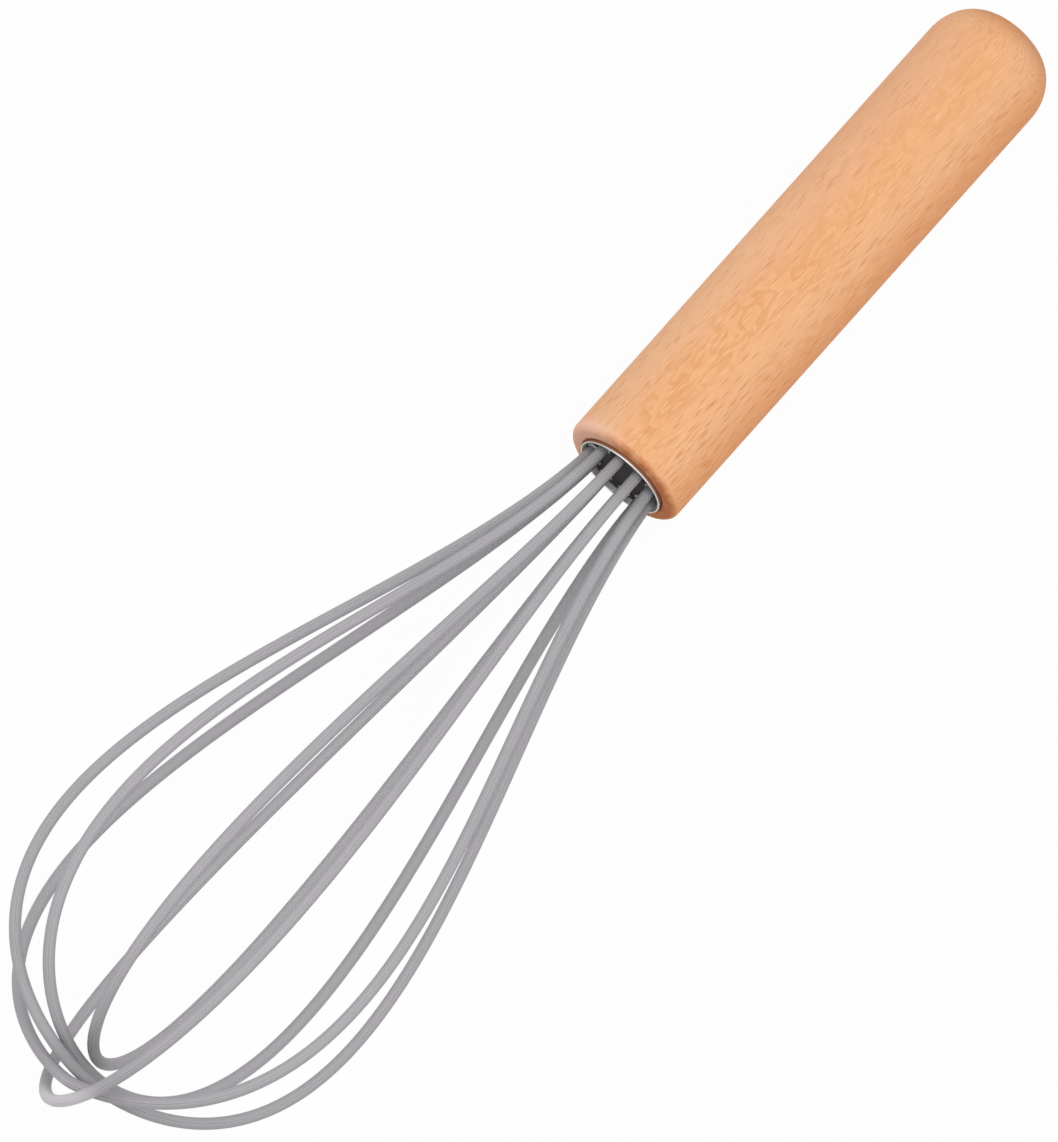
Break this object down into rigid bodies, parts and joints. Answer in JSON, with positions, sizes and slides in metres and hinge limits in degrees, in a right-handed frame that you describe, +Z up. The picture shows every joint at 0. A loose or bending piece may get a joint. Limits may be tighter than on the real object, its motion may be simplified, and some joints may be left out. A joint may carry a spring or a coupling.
{
  "type": "balloon whisk",
  "caption": "Balloon whisk with silicone-covered wire loops that cross at the tip, set in a steel ferrule in a turned beech handle with a domed butt.",
  "frame": {"origin": "middle of the box's footprint, on the surface that the whisk lies on", "axes": "+X towards the handle's butt, +Y across the whisk, +Z up; the wire tip points to -X"},
  "size_m": [0.2772, 0.0676, 0.0579],
  "materials": {
    "beech": "oiled satin",
    "ferrule_steel": "brushed",
    "dark_resin": "glossy",
    "grey_silicone": "matt",
    "wire_steel": "drawn"
  },
  "bodies": {
    "root": {"handle": "beech", "ferrule": "ferrule_steel", "plug": "dark_resin", "sleeve_a": "grey_silicone", "sleeve_b": "grey_silicone", "sleeve_c": "grey_silicone", "sleeve_d": "grey_silicone", "sleeve_e": "grey_silicone", "core_a": "wire_steel", "core_b": "wire_steel", "core_c": "wire_steel", "core_d": "wire_steel", "core_e": "wire_steel"}
  },
  "joints": []
}
